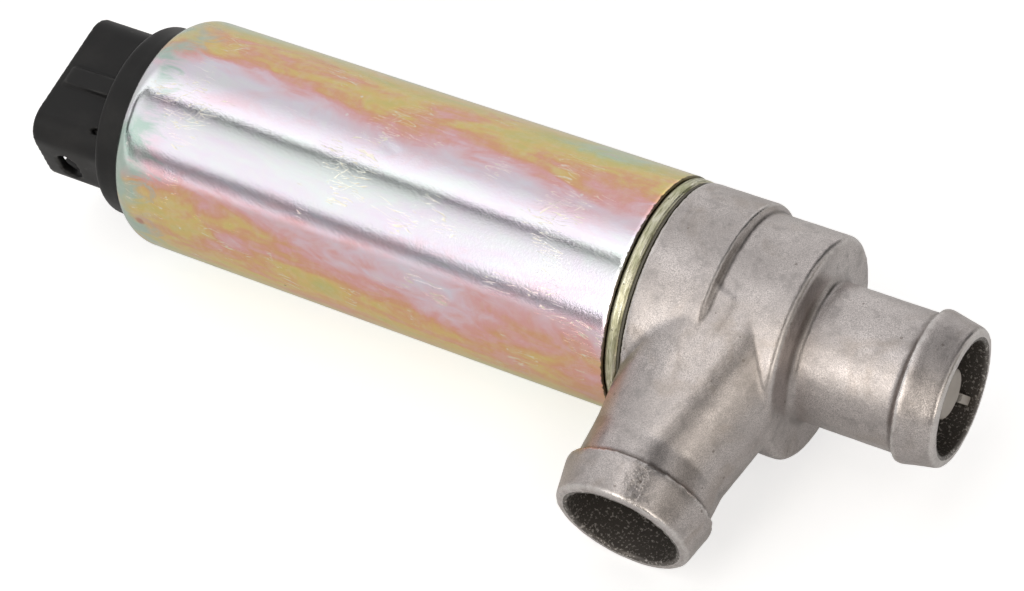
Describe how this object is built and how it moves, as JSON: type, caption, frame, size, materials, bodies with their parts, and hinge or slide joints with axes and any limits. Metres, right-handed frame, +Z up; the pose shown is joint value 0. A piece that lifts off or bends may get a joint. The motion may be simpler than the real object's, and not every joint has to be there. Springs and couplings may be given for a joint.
{
  "type": "idle control valve",
  "caption": "Solenoid idle air valve: steel can, plug socket, cast elbow housing with an axial and a side hose stub, and a sprung sliding plunger.",
  "frame": {"origin": "centre of the object's box on the ground it lies on", "axes": "+X along the solenoid towards the axial hose stub, -Y towards the side hose stub, +Z up from the ground"},
  "size_m": [0.1456, 0.0538, 0.0351],
  "materials": {
    "yellow_zinc": "yellow chromate over zinc, iridescent, finely scratched",
    "olive_zinc": "olive chromate over zinc, satin",
    "black_plastic": "satin moulded",
    "tinned_brass": "tinned, satin",
    "black_rubber": "matt",
    "plain_steel": "turned",
    "natural_nylon": "moulded",
    "enamelled_copper": "enamelled wire",
    "amber_tape": "smooth film",
    "brass": "turned",
    "bronze": "sintered",
    "pale_plastic": "moulded, slightly dull",
    "cast_aluminium": "shot-blasted casting with worn edges",
    "spring_steel": "drawn wire",
    "stainless": "ground",
    "poppet_plastic": "moulded"
  },
  "bodies": {
    "valve_body": {"solenoid_can": "yellow_zinc", "connector_cap": "black_plastic", "terminal_blade_left": "tinned_brass", "terminal_blade_right": "tinned_brass", "cap_seal": "black_rubber", "rear_flux_plate": "plain_steel", "coil_bobbin": "natural_nylon", "coil_winding": "enamelled_copper", "coil_tape": "amber_tape", "guide_tube": "brass", "pole_core": "plain_steel", "rear_bush": "bronze", "stop_washer": "pale_plastic", "end_plate": "olive_zinc", "front_bush": "bronze", "housing_gasket": "black_rubber", "valve_housing": "cast_aluminium", "valve_seat": "brass", "port_bridge": "pale_plastic", "return_spring": "spring_steel"},
    "plunger": {"armature": "plain_steel", "plunger_shaft": "stainless", "valve_poppet": "poppet_plastic", "poppet_seal": "black_rubber", "shaft_clip": "spring_steel"}
  },
  "joints": [
    {"name": "plunger_slide", "type": "slide", "parent": "valve_body", "child": "plunger", "axis": [-1, 0, 0], "range_m": [0, 0.0045], "stiffness_N_per_m": 400, "springref_m": -0.005, "deforming": ["return_spring"]}
  ]
}
